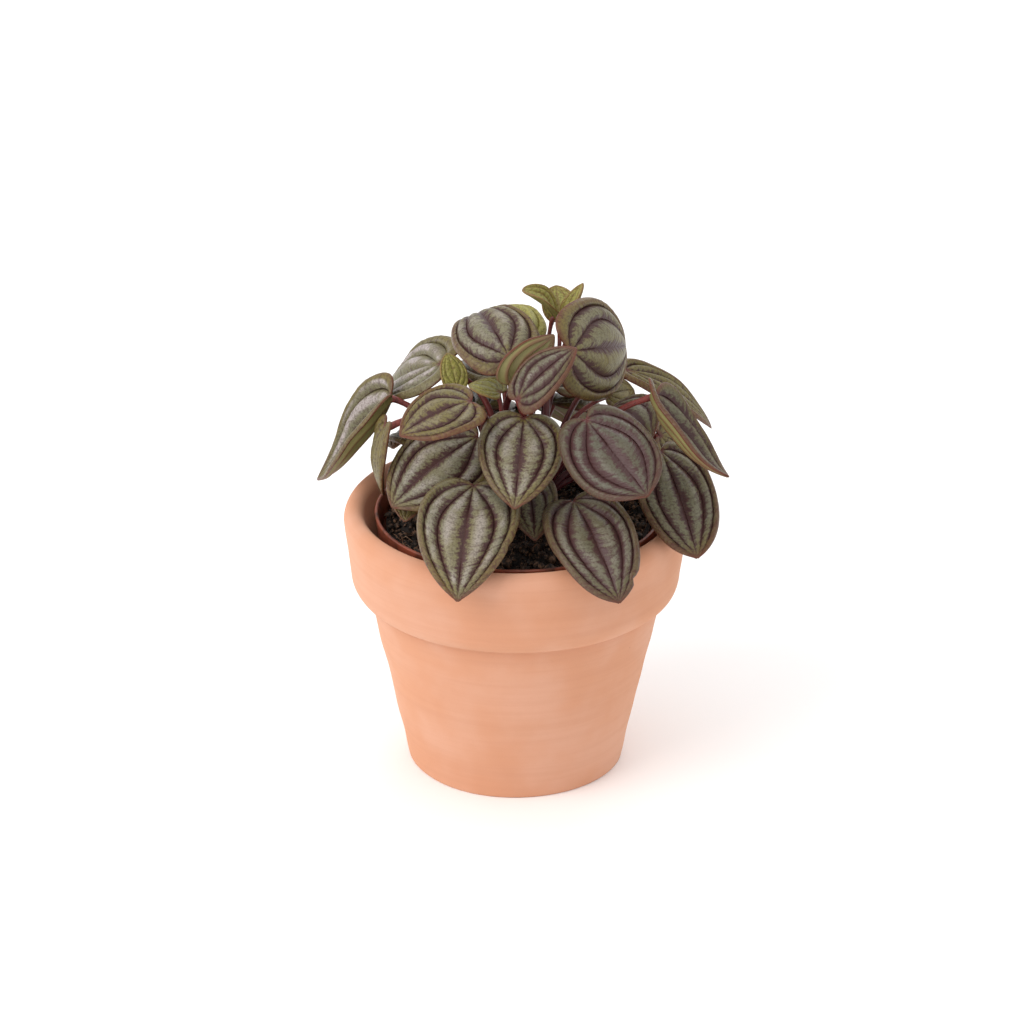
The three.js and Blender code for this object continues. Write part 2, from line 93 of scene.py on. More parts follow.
# Each leaf: joint, tip, width and roll, then what departs from the usual blade and stalk:
# curl, cup and hook in mm, the angles at its base and point, its stalk, young for a small
# smooth leaf, plain for a large one in the young leaves' colour, and tears as (share of
# its length, edge, depth in mm). look is (green, sheen, dark, red): how yellow-green its
# panels are, how strong the painted sheen, a painted pale highlight, on their crests, how
# wide the dark bands along its veins and, above 0.6, how much painted shade darkens its
# panels, and how red its margin.
LEAVES = [
    # Low ring, at the front and over the rim
    dict(joint=(-13, -28, 107), tip=(-18, -63, 84), width=31, roll=0, curl=5, cup=-2,
         tears=((0.7, 1, 0.7),),
         stalk=dict(start=-115, rise=0.3, reach=0.5, arrive=75), look=(0.38, 0.6, 0.62, 0.5)),
    dict(joint=(18, -29, 102), tip=(32, -62, 83), width=26, roll=-12, curl=5, cup=-1,
         point_angle=74, tears=((0.86, 1, 1.6),), stalk=dict(start=-60),
         look=(0.4, 0.2, 0.85, 0.5)),
    dict(joint=(2.5, -16, 125), tip=(-0.5, -45, 107), width=26, roll=5, curl=3, cup=-3,
         stalk=dict(start=-75), look=(0.35, 0.5, 0.6, 0.4)),
    dict(joint=(22, -28, 129.5), tip=(40.5, -52, 114.5), width=27, roll=-24, curl=1, cup=-4,
         base_angle=150, point_angle=70, stalk=dict(start=-50, arrive=70),
         look=(0.15, 0.1, 1, 0.5)),
    dict(joint=(46, -4, 108), tip=(57, -34, 85), width=24, roll=-6, curl=3, cup=-2,
         base_angle=145, point_angle=74, stalk=dict(start=-5), look=(0.3, 0.1, 0.75, 0.9)),
    dict(joint=(4, -14, 103), tip=(6, -34, 91), width=16, roll=0, curl=2,
         stalk=dict(start=-75), look=(0.2, 0.1, 0.7, 0.4)),
    # Right side
    dict(joint=(44, -12, 131), tip=(66.2, -36, 114), width=22, roll=31, curl=-5, cup=5,
         stalk=dict(start=-20, rise=0.45, reach=0.3, arrive=85), look=(0.45, 0.1, 0.8, 0.8)),
    dict(joint=(35.5, 28, 122.5), tip=(64, 40, 97), width=14, roll=-22, curl=3,
         base_angle=125, stalk=dict(start=-5, arrive=20), look=(0.95, 0.1, 0.45, 1)),
    dict(joint=(46, 16, 105), tip=(60, 30, 90), width=20, roll=-60, curl=2,
         stalk=dict(start=25), look=(0.9, 0.1, 0.35, 0.8)),
    dict(joint=(31, 6, 119), tip=(43, -6, 113.5), width=21, roll=-10, curl=3,
         stalk=dict(start=-5, arrive=70), look=(0.3, 0.1, 0.8, 0.4)),
    dict(joint=(29, 14, 120), tip=(38, 23, 118), width=11, roll=-45, curl=1,
         stalk=dict(start=30, arrive=20), look=(1.1, 0.1, 0.15, 0.3)),
    # Top
    dict(joint=(17, -2, 142), tip=(35, 26, 132), width=32, roll=-72, curl=4, cup=-4,
         point_angle=70, stalk=dict(start=-5, reach=0.2), look=(0.65, 0.1, 0.65, 1)),
    dict(joint=(1, -20, 133), tip=(19, -14, 148), width=17, roll=-22, curl=2, cup=-1,
         base_angle=130, stalk=dict(start=45, reach=0.2, arrive=75),
         look=(0.45, 0.5, 0.85, 1)),
    dict(joint=(-2, -4, 140.4), tip=(-13.5, 25, 145), width=26, roll=14, curl=4, cup=-3,
         hook=4, point_angle=70, stalk=dict(start=115, rise=0.75, arrive=60),
         look=(0.45, 0.45, 0.65, 0.8)),
    dict(joint=(3, 26, 135), tip=(-9, 44, 137), width=20, roll=0, curl=3, plain=True,
         stalk=dict(start=85, arrive=0), look=(0.9, 0.3, 0.05, 0.2)),
    dict(joint=(-1.6, -9.7, 133.7), tip=(11.9, -1.7, 147.5), width=20, roll=70, curl=-2, cup=3,
         stalk=dict(start=-45, reach=0.2, arrive=90), look=(0.7, 0.1, 0.5, 0.8)),
    dict(joint=(-14, -24, 134), tip=(-36, -32, 126), width=22, roll=18, curl=2, cup=-1,
         stalk=dict(start=150, rise=0.75), look=(0.8, 0.2, 0.6, 1)),
    # Left side
    dict(joint=(-12, -4, 113), tip=(-39, -22, 97), width=31, roll=18, curl=3, cup=-3,
         point_angle=68, stalk=dict(start=-160), look=(0.3, 0.6, 0.65, 0.5)),
    dict(joint=(-40, 14, 119), tip=(-64.3, 20.5, 87.5), width=24, roll=16, curl=-3, cup=7,
         stalk=dict(start=160, reach=0.2, arrive=90), look=(0.3, 2.2, 0.12, 0.4)),
    dict(joint=(-24, 20, 128), tip=(-44, 44, 105), width=27, roll=34, curl=3,
         base_angle=150, stalk=dict(start=140, rise=0.3, reach=0.5, arrive=35),
         look=(0.3, 2.3, 0.05, 0.2)),
    dict(joint=(-41, -3, 117), tip=(-42, -6, 94), width=18, roll=-60, curl=2,
         stalk=dict(start=95, rise=0.6, reach=0.5), look=(0.9, 0.1, 0.2, 0.3)),
    dict(joint=(-32, -8, 100), tip=(-35, -22, 92), width=12, roll=0, curl=1,
         stalk=dict(start=-165), look=(0.7, 0.3, 0.2, 0.3)),
    # Young leaves inside and at the top
    dict(joint=(-19, 11, 124), tip=(-22, 18, 133), width=9, roll=0, curl=1, young=True,
         stalk=dict(start=20, rise=0.6, reach=0.2, arrive=20), look=(1.0, 0.1, 0.05, 0.2)),
    dict(joint=(-5, 2, 126), tip=(-15, 6, 127), width=13, roll=0, curl=1, young=True,
         stalk=dict(start=160), look=(1.0, 0.1, 0.05, 0.2)),
    dict(joint=(13, 26, 142), tip=(2, 22, 153), width=9, roll=20, curl=1, cup=3,
         point_angle=85, young=True, stalk=dict(start=40, reach=0.2), look=(0.8, 0.1, 0.3, 0.4)),
    dict(joint=(14, 29, 140), tip=(13, 36, 149), width=11, roll=0, cup=2, young=True,
         point_angle=75, stalk=dict(start=65, arrive=0), look=(0.8, 0.1, 0.3, 0.4)),
    dict(joint=(17, 23.5, 142), tip=(21.5, 25.5, 154), width=8, roll=0, cup=2, young=True,
         stalk=dict(start=55, arrive=0), look=(0.8, 0.1, 0.3, 0.4)),
    # Back
    dict(joint=(25, 14, 99), tip=(53, 35, 83), width=28, roll=0, curl=5, cup=-3,
         stalk=dict(start=30), look=(0.4, 0.5, 0.5, 0.5)),
    dict(joint=(11.6, 28, 111.3), tip=(23, 60, 86), width=28, roll=0, curl=5, cup=-3,
         stalk=dict(start=65), look=(0.3, 0.6, 0.55, 0.4)),
    dict(joint=(-7.4, 29, 107), tip=(-14.6, 62.6, 87), width=26, roll=0, curl=5, cup=-3,
         stalk=dict(start=105), look=(0.45, 0.5, 0.5, 0.5)),
    dict(joint=(-24, 17, 103), tip=(-40, 37, 91), width=21, roll=0, curl=5, cup=-2,
         stalk=dict(start=150), look=(0.3, 0.6, 0.5, 0.4)),
    dict(joint=(11.2, 24.6, 118.5), tip=(22, 55, 106), width=25, roll=0, curl=4, cup=-3,
         stalk=dict(start=70, arrive=70), look=(0.35, 0.6, 0.5, 0.6)),
    dict(joint=(-4, 20, 124), tip=(-12, 54, 113), width=23, roll=0, curl=4, cup=-3,
         stalk=dict(start=100), look=(0.5, 0.5, 0.45, 0.5)),
    dict(joint=(-13, 15, 115), tip=(-32, 44, 102), width=25, roll=0, curl=4, cup=-3,
         stalk=dict(start=130), look=(0.4, 0.6, 0.5, 0.4)),
]


# ------------------------------------------------------------------ small helpers

def unit(vectors):
    """Each vector divided by its length."""
    return vectors / np.linalg.norm(vectors, axis=-1, keepdims=True)


def turned_about(vector, axis, angle):
    """The vector turned about a unit axis: v cos a + (axis x v) sin a + axis (axis.v)(1 - cos a)."""
    return (vector * math.cos(angle) + np.cross(axis, vector) * math.sin(angle)
            + axis * np.dot(axis, vector) * (1 - math.cos(angle)))


def wander(points, size, seed, waves=14):
    """Smooth noise of about -1 to 1: a sum of sine waves in random directions and phases,
    each between 0.7 and 1.4 times `size` mm long, divided by the root of half their number."""
    draw = np.random.default_rng(seed)
    direction = unit(draw.normal(size=(waves, 3)))
    direction *= 2 * math.pi / (size * draw.uniform(0.7, 1.4, (waves, 1)))
    phase = draw.uniform(0, 2 * math.pi, waves)
    return np.sin(points @ direction.T + phase).sum(-1) / math.sqrt(waves / 2)


def closed_skin(grid, poles=()):
    """Points, quads and triangles of a closed skin over grid[row, column], whose rows are
    closed loops. Two poles close the first and last rows by fans of triangles; without
    them the last row joins the first. Faces point outwards: they are turned round if the
    volume inside, the sum of a.(b x c)/6 over triangles, is negative."""
    rows, columns = grid.shape[:2]
    points = grid.reshape(-1, 3)
    here = np.arange(rows * columns).reshape(rows, columns)
    there = np.roll(here, -1, axis=1)
    quads = np.stack([here, there, np.roll(there, -1, 0), np.roll(here, -1, 0)], -1)
    fans = np.empty((0, 3), int)
    if len(poles):
        points = np.vstack([points, np.array(poles, float)])
        quads = quads[:-1]
        first = np.full(columns, rows * columns)
        fans = np.vstack([np.stack([first, there[0], here[0]], -1),
                          np.stack([first + 1, here[-1], there[-1]], -1)])
    quads = quads.reshape(-1, 4)
    a, b, c = points[np.vstack([quads[:, :3], fans, quads[:, [0, 2, 3]]])].swapaxes(0, 1)
    if (a * np.cross(b, c)).sum() < 0:
        quads, fans = quads[:, ::-1], fans[:, ::-1]
    return points, quads, fans


def joined(skins):
    """Several skins as one: each one's faces count on from the points before it."""
    starts = np.cumsum([0] + [len(points) for points, _, _ in skins])
    return (np.vstack([points for points, _, _ in skins]),
            np.vstack([quads + start for (_, quads, _), start in zip(skins, starts)]),
            np.vstack([fans + start for (_, _, fans), start in zip(skins, starts)]))


def piece(name, skin, materials, values=None, face_material=None):
    """A smooth mesh object from a skin in mm. values holds numbers or vectors for each
    point, by name, which the materials read."""
    points, quads, fans = skin
    data = bpy.data.meshes.new(name)
    data.from_pydata((points * MM).tolist(), [], quads.tolist() + fans.tolist())
    data.polygons.foreach_set("use_smooth", np.ones(len(data.polygons), bool))
    for material in materials:
        data.materials.append(material)
    if face_material is not None:
        data.polygons.foreach_set("material_index", face_material.astype(np.int32))
    for key, value in (values or {}).items():
        kind, field = ("FLOAT", "value") if value.ndim == 1 else ("FLOAT_VECTOR", "vector")
        attribute = data.attributes.new(key, kind, "POINT")
        attribute.data.foreach_set(field, value.astype(np.float32).ravel())
    data.update()
    made = bpy.data.objects.new(name, data)
    bpy.context.scene.collection.objects.link(made)
    return made


def dress(made, node):
    """Puts a new piece in the place of a CAD node, on the part's one body."""
    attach(made, "root")
    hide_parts(node)


# ------------------------------------------------------------------ materials

def srgb(code, alpha=1.0):
    """An sRGB hex colour as linear numbers."""
    parts = [int(code[i:i + 2], 16) / 255 for i in (1, 3, 5)]
    linear = [c / 12.92 if c <= 0.04045 else ((c + 0.055) / 1.055) ** 2.4 for c in parts]
    return (*linear, alpha)


def every(size):
    """Scale of a pattern on Object coordinates, in metres, whose cells are `size` mm wide."""
    return 1 / (size * MM)


def add(tree, kind, inputs=(), out=0, **settings):
    """Adds a node with its settings and what its sockets get, in order or by key, and
    gives back one output."""
    node = tree.nodes.new("ShaderNode" + kind)
    for key, value in settings.items():
        setattr(node, key, value)
    for key, value in (inputs if isinstance(inputs, dict) else dict(enumerate(inputs))).items():
        if isinstance(value, bpy.types.NodeSocket):
            tree.links.new(value, node.inputs[key])
        else:
            node.inputs[key].default_value = value
    return node.outputs[out]


# What two nodes are always set to. A step takes a value, its low and high end and what it
# gives below and above them (0 and 1 if left out). A mix takes a share and two colours.
STEP = dict(interpolation_type="SMOOTHSTEP")
MIX = dict(out=2, data_type="RGBA")
SHARE, UNDER, OVER = 0, 6, 7               # sockets of a mix


def surface(name, sockets):
    """A material with one plain surface shader; sockets holds its fixed numbers."""
    material = bpy.data.materials.new(name)
    material.use_nodes = True
    tree = material.node_tree
    shader = tree.nodes["Principled BSDF"]
    for key, value in sockets.items():
        shader.inputs[key].default_value = value
    return material, tree, shader


def paint(tree, shader, ground, coats, bumps):
    """Lays coats, each (share, hex colour), over the ground colour one after the other, and
    bumps, each (strength, mm, height), likewise, and links both to the shader."""
    colour = srgb(ground)
    for share, code in coats:
        colour = add(tree, "Mix", {SHARE: share, UNDER: colour, OVER: srgb(code)}, **MIX)
    tree.links.new(colour, shader.inputs["Base Color"])
    below = {}
    for strength, depth, height in bumps:
        inputs = {"Strength": strength, "Distance": depth * MM, "Height": height}
        below = {"Normal": add(tree, "Bump", {**inputs, **below})}
    tree.links.new(below["Normal"], shader.inputs["Normal"])


def leaf_flesh(name, roughness, panel, ripe, crest, band, margin, joint):
    """Upper face of a peperomia blade: a thick waxy skin over wet flesh. It gives a satin
    gloss on the raised panels, and a painted sheen, a pale grey-lilac highlight in the colour
    crest, lies in patches on the crests between the sunk veins. leaf_map holds mm to the
    nearest vein, mm to the margin and mm along the vein; leaf_look holds how green the leaf
    is, how strong its painted sheen and how dark it is; leaf_more how red it is and its own
    number; leaf_panel is 0 on a vein and 1 on a crest."""
    material, tree, shader = surface(name, {"Roughness": roughness, "IOR": 1.42,
                                            "Specular IOR Level": 0.4})
    (vein, rim, run), (green, painted_sheen, dark), (red, number, _) = (
        add(tree, "SeparateXYZ",
            [add(tree, "Attribute", out="Vector", attribute_name=key)]).node.outputs
        for key in ("leaf_map", "leaf_look", "leaf_more"))
    across = add(tree, "Attribute", out="Fac", attribute_name="leaf_panel")
    place = add(tree, "TexCoord", out="Object")

    # Cross-veins: dark threads about 1.5 mm apart and 4 mm long that slant to the tip
    slant = add(tree, "Math", (vein, -0.8, run), operation="MULTIPLY_ADD")
    along_thread = add(tree, "Math", (slant, 0.9), operation="MULTIPLY")
    over_thread = add(tree, "Math", (vein, 0.25), operation="MULTIPLY")
    own = add(tree, "Math", (number, 7.3), operation="MULTIPLY")
    thread_place = add(tree, "CombineXYZ", (along_thread, over_thread, own))
    threads = add(tree, "TexNoise", {"Vector": thread_place, "Scale": 1.0})
    # Soft patches, noise for the painted sheen, and single cells drawn coarse enough to show
    patches = add(tree, "TexNoise", {"Vector": place, "Scale": every(16.13), "Detail": 3.0})
    sheen_noise = add(tree, "TexNoise", {"Vector": place, "Scale": every(8.333), "Detail": 4.0,
                                    "Roughness": 0.6})
    mottle = add(tree, "TexNoise", {"Vector": place, "Scale": every(0.6667), "Detail": 3.0,
                                    "Roughness": 0.7})

    # Dark band along each vein: its width is a share of the panel and no more than some mm,
    # both more on a dark leaf, and the threads and cells make its edge ragged
    feathered = add(tree, "MapRange", (threads, 0.35, 0.65, -0.14, 0.22), **STEP)
    grained = add(tree, "MapRange", (mottle, 0.3, 0.7, -0.16, 0.16), **STEP)
    ragged = add(tree, "Math", (feathered, grained), operation="ADD")
    panel_part = add(tree, "Math", (dark, 0.5, 0.15), operation="MULTIPLY_ADD")
    edge = add(tree, "Math", (panel_part, ragged), operation="ADD")
    past_edge = add(tree, "Math", (across, edge), operation="SUBTRACT")
    within = add(tree, "MapRange", (past_edge, -0.28, 0.34, 1.0, 0.0), **STEP)
    most = add(tree, "Math", (dark, 1.7, 0.8), operation="MULTIPLY_ADD")
    reach = add(tree, "Math", (ragged, 2.2, most), operation="MULTIPLY_ADD")
    past_reach = add(tree, "Math", (vein, reach), operation="SUBTRACT")
    capped = add(tree, "MapRange", (past_reach, -0.8, 1.0, 1.0, 0.0), **STEP)
    strength = add(tree, "MapRange", (dark, 0.0, 0.4, 0.35, 0.95), **STEP)
    near_vein = add(tree, "Math", (within, capped), operation="MULTIPLY")
    along_vein = add(tree, "Math", (near_vein, strength), operation="MULTIPLY")
    # The same along the margin
    rim_ragged = add(tree, "Math", (ragged, 3.0), operation="MULTIPLY")
    rim_reach = add(tree, "Math", (dark, 0.6, rim_ragged), operation="MULTIPLY_ADD")
    past_rim = add(tree, "Math", (rim, rim_reach), operation="SUBTRACT")
    near_rim = add(tree, "MapRange", (past_rim, -0.5, 1.2, 0.65, 0.0), **STEP)
    along_rim = add(tree, "Math", (near_rim, strength), operation="MULTIPLY")
    bands = add(tree, "Math", (along_vein, along_rim), operation="MAXIMUM")

    # Panels: grey-green, yellow-green in soft patches and near the margin
    patchy = add(tree, "MapRange", (patches, 0.3, 0.7, -0.4, 0.25), **STEP)
    greener = add(tree, "Math", (green, patchy), operation="ADD")
    by_margin = add(tree, "MapRange", (rim, 2.0, 5.0, 0.5, 0.0), **STEP)
    ripeness = add(tree, "Math", (greener, by_margin), operation="ADD")
    # Painted shade: on leaves whose dark is over 0.6 the panels are darkened towards #43413a
    shaded = add(tree, "MapRange", (dark, 0.6, 1.0, 0.0, 0.7), **STEP)
    # Painted sheen: a pale grey-lilac highlight painted in patches on the crests, not next to the
    # margin
    on_crest = add(tree, "MapRange", (across, 0.35, 0.95), **STEP)
    off_margin = add(tree, "MapRange", (rim, 2.0, 4.5), **STEP)
    lit = add(tree, "Math", (on_crest, off_margin), operation="MULTIPLY")
    sheen_patches = add(tree, "MapRange", (sheen_noise, 0.4, 0.62, 0.15, 1.0), **STEP)
    sheen_amount = add(tree, "Math", (painted_sheen, sheen_patches), operation="MULTIPLY")
    sheen_share = add(tree, "Math", (lit, sheen_amount), operation="MULTIPLY")
    dotted = add(tree, "MapRange", (mottle, 0.42, 0.68, 0.0, 0.6), **STEP)
    threaded = add(tree, "MapRange", (threads, 0.56, 0.7, 0.0, 0.4), **STEP)
    # Redder towards the margin, a thin brown-red rim, and burgundy at the joint
    to_margin = add(tree, "MapRange", (rim, 0.2, 2.6, 0.55, 0.0), **STEP)
    ruddy = add(tree, "Math", (to_margin, red), operation="MULTIPLY")
    thin_rim = add(tree, "MapRange", (rim, 0.1, 0.5, 0.8, 0.0), **STEP)
    at_joint = add(tree, "MapRange", (run, 0.4, 2.0, 0.8, 0.0), **STEP)
    # The skin's cells, 0.4 mm, over the low cross-veins
    cells = add(tree, "TexNoise", {"Vector": place, "Scale": every(0.4348), "Detail": 1.0})
    paint(tree, shader, panel,
          [(ripeness, ripe), (shaded, "#43413a"), (sheen_share, crest), (dotted, "#463a2e"),
           (bands, band), (threaded, band), (ruddy, margin), (thin_rim, margin),
           (at_joint, joint)],
          [(0.7, 0.5, threads), (0.35, 0.1, cells)])
    return material


def under_flesh(name, flesh, veins, margin):
    """Underside of a blade: smooth, duller and paler, with reddish veins that stand out."""
    material, tree, shader = surface(name, {"Roughness": 0.5, "IOR": 1.42})
    leaf_map = add(tree, "Attribute", out="Vector", attribute_name="leaf_map")
    vein, rim, _ = add(tree, "SeparateXYZ", [leaf_map]).node.outputs
    place = add(tree, "TexCoord", out="Object")
    blotch = add(tree, "TexNoise", {"Vector": place, "Scale": every(11.11), "Detail": 3.0})
    cells = add(tree, "TexNoise", {"Vector": place, "Scale": every(0.5556)})
    blotched = add(tree, "MapRange", (blotch, 0.35, 0.7, 0.0, 0.5), **STEP)
    veined = add(tree, "MapRange", (vein, 0.1, 0.7, 0.6, 0.0), **STEP)
    rimmed = add(tree, "MapRange", (rim, 0.1, 0.45, 0.7, 0.0), **STEP)
    paint(tree, shader, flesh,
          [(blotched, "#6e5f3e"), (veined, veins), (rimmed, margin)], [(0.3, 0.1, cells)])
    return material


def stalk_flesh():
    """Petiole: a juicy red stem with a thin shiny skin. It is burgundy at the crown and
    clearer red where it meets the blade, with fine streaks, 1 mm wide and 4 mm high."""
    material, tree, shader = surface("petiole_flesh", {"Roughness": 0.34, "IOR": 1.42})
    share = add(tree, "Attribute", out="Fac", attribute_name="stalk_share")
    place = add(tree, "TexCoord", out="Object")
    drawn_out = add(tree, "Mapping", {"Vector": place, "Scale": (1, 1, 0.25)})
    streaks = add(tree, "TexNoise", {"Vector": drawn_out, "Scale": every(1.111)})
    upward = add(tree, "MapRange", (share, 0.35, 1.0), **STEP)
    streaked = add(tree, "MapRange", (streaks, 0.45, 0.7, 0.0, 0.5), **STEP)
    paint(tree, shader, "#4a1c20", [(upward, "#7d3a34"), (streaked, "#351316")],
          [(0.3, 0.08, streaks)])
    return material


def fired_clay():
    """Terracotta: unglazed earthenware, pressed in a mould and wiped while wet. It is matt
    and grainy, with faint level wiping marks, pinker blotches and a few burnt specks."""
    material, tree, shader = surface("terracotta_earthenware",
                                     {"Roughness": 0.88, "IOR": 1.5, "Diffuse Roughness": 0.7,
                                      "Specular IOR Level": 0.3})
    place = add(tree, "TexCoord", out="Object")
    level = add(tree, "Mapping", {"Vector": place, "Scale": (1, 1, 34)})
    blotch = add(tree, "TexNoise", {"Vector": place, "Scale": every(26.32), "Detail": 3.0})
    wiping = add(tree, "TexNoise", {"Vector": level, "Scale": every(62.5), "Detail": 3.0,
                                    "Roughness": 0.6})
    grain = add(tree, "TexNoise", {"Vector": place, "Scale": every(0.4545), "Roughness": 0.7})
    burnt = add(tree, "TexVoronoi", {"Vector": place, "Scale": every(10.53)}, out="Distance")
    rare = add(tree, "TexNoise", {"Vector": place, "Scale": every(16.67), "Detail": 0.0})
    pinker = add(tree, "MapRange", (blotch, 0.35, 0.68), **STEP)
    wiped = add(tree, "MapRange", (wiping, 0.4, 0.7, 0.0, 0.16), **STEP)
    grained = add(tree, "MapRange", (grain, 0.55, 0.8, 0.0, 0.16), **STEP)
    spot = add(tree, "MapRange", (burnt, 0.035, 0.06, 0.75, 0.0), **STEP)
    seldom = add(tree, "MapRange", (rare, 0.6, 0.66), **STEP)
    specks = add(tree, "Math", (spot, seldom), operation="MULTIPLY")
    paint(tree, shader, "#d39b7b",
          [(pinker, "#d7a58a"), (wiped, "#c48b6d"), (grained, "#b88064"), (specks, "#7c5340")],
          [(0.15, 0.2, wiping), (0.35, 0.12, grain)])
    return material


def moulded_plastic():
    """Grower's pot: thin thermoformed polypropylene, red-brown and satin, with a film of
    dried potting mix in uneven patches."""
    material, tree, shader = surface("thermoformed_polypropylene",
                                     {"Roughness": 0.42, "IOR": 1.49})
    place = add(tree, "TexCoord", out="Object")
    dust = add(tree, "TexNoise", {"Vector": place, "Scale": every(7.143), "Detail": 4.0,
                                  "Roughness": 0.6})
    dusty = add(tree, "MapRange", (dust, 0.45, 0.72, 0.0, 0.85), **STEP)
    paint(tree, shader, "#8f4a35", [(dusty, "#2f1e17")], [(0.2, 0.2, dust)])
    return material


def potting_soil(name, roughness, dark, light):
    """Damp peat: crumbs and fibres, nearly black where wet, browner on dry tops."""
    material, tree, shader = surface(name, {"Roughness": roughness, "IOR": 1.4})
    place = add(tree, "TexCoord", out="Object")
    crumbs = add(tree, "TexNoise", {"Vector": place, "Scale": every(1.538), "Detail": 4.0,
                                    "Roughness": 0.7})
    dry = add(tree, "MapRange", (crumbs, 0.42, 0.72), **STEP)
    paint(tree, shader, dark, [(dry, light)], [(0.8, 0.6, crumbs)])
    return material


# ------------------------------------------------------------------ leaf shapes

def leaf_axes(leaf):
    """The leaf's own axes: along from joint to tip, up its upper side (turned by its roll
    about along), across = up x along."""
    joint, tip = np.array(leaf["joint"], float), np.array(leaf["tip"], float)
    length = np.linalg.norm(tip - joint)
    along = (tip - joint) / length
    up = unit(np.array([0.0, 0.0, 1.0]) - along * along[2])
    up = turned_about(up, along, -math.radians(leaf["roll"]))
    return joint, along, np.cross(up, along), up, length


def panel_steps(v):
    """v spread so that a panel is 1/3 wide: 0.57 v + 0.39 v^3 + 0.05 v^5, which is 0, 1/3,
    2/3 and 1 at the midrib, at the two side veins and at the edge."""
    first, third, fifth = VEIN_STEPS
    return first * v + third * v ** 3 + fifth * v ** 5


def blade_middle(leaf, t, v, number):
    """Middle surface of a blade. t runs from joint (0) to tip (1), v from edge (-1) over
    the midrib to the other edge (1). With first = 3(1-t)^2 t, second = 3(1-t)t^2,
    ahead(a) = 1 + (cos a - 1) v^2 and aside(a) = sin(a) v (1 + spread (1 - v^2)):
    run = L (first lobe ahead(base) + second (1 - blunt ahead(point)) + t^3) and
    side = width (first lobe aside(base) + second blunt aside(point)) / (twice the same at
    the edge half way). A tear (t, edge, depth) draws that edge in by its depth times a bell
    of t, 0.02 wide, times v^6. The height adds cup, curl, a hooked tip, the puffed panels
    |sin 3 pi w|^1.2 sin(pi t)^0.7, w = panel_steps(v), and a slow wave that grows with v^2."""
    joint, along, across, up, length = leaf_axes(leaf)
    base = math.radians(leaf.get("base_angle", BLADE["base_angle"]))
    point = math.radians(leaf.get("point_angle", BLADE["point_angle"]))
    lobe, blunt = BLADE["lobe"], BLADE["blunt"]
    first, second = 3 * (1 - t) ** 2 * t, 3 * (1 - t) * t ** 2
    spread = v * (1 + BLADE["spread"] * (1 - v ** 2))
    base_ahead, point_ahead = (1 + (math.cos(a) - 1) * v ** 2 for a in (base, point))
    run = length * (first * lobe * base_ahead + second * (1 - blunt * point_ahead) + t ** 3)
    widest = 2 * 3 / 8 * (lobe * math.sin(base) + blunt * math.sin(point))
    side = leaf["width"] * spread * (first * lobe * math.sin(base)
                                     + second * blunt * math.sin(point)) / widest
    for at, edge, depth in leaf.get("tears", ()):
        bell = np.exp(-((t - at) / RELIEF["tear"]) ** 2)
        side = side - edge * depth * bell * np.clip(edge * v, 0, 1) ** 6
    share = run / length
    puff = BLADE["puff"] * (BLADE["young_puff"] if leaf.get("young") else 1.0)
    panels = np.abs(np.sin(3 * math.pi * panel_steps(v))) ** RELIEF["puff_power"]
    puffed = length * puff * panels * np.abs(np.sin(math.pi * t)) ** BLADE["puff_fade"]
    past = np.maximum(0, (share - BLADE["hook_start"]) / (1 - BLADE["hook_start"]))
    flat = np.stack([run, side, np.full_like(run, NOISE_STEP * number)], -1)
    slow = wander(flat, RELIEF["wave_size"] * length, 100 + number)
    wave = RELIEF["wave"] * length * slow * v ** 2 * np.sin(math.pi * t)
    lift = (leaf.get("cup", 0) * (2 * side / leaf["width"]) ** 2
            + leaf.get("curl", 0) * 4 * share * (1 - share)
            - leaf.get("hook", 0) * past ** 2 + puffed + wave)
    return (joint + run[..., None] * along + side[..., None] * across
            + lift[..., None] * up)


def blade_columns():
    """v of the points across a blade, close together at the veins and at the edge: cosines
    of even angles in the two inner panels, and steps that grow from the edge in the outer."""
    panel = (1 - np.cos(np.linspace(0, math.pi, PANEL_POINTS + 1))) / 6
    outer = 1 - np.array([1 / 3, 0.3, 0.25, 0.2, 0.15, 0.1, 0.062, 0.036, 0.018, 0.006, 0])
    steps = np.concatenate([panel[:-1], 1 / 3 + panel[:-1], outer])
    even = np.linspace(0, 1, 2001)
    half = np.interp(steps, panel_steps(even), even)
    return np.concatenate([-half[:0:-1], half])


def wrapped(upper, lower):
    """Columns of a blade's upper face, then the lower's backwards without the two edges."""
    return np.concatenate([upper, lower[:, -2:0:-1]], axis=1)


def for_points(value, first=0, last=0):
    """A value over the blade's grid as one for each point of its skin, its two ends last."""
    return np.append(wrapped(value, value), [first, last])


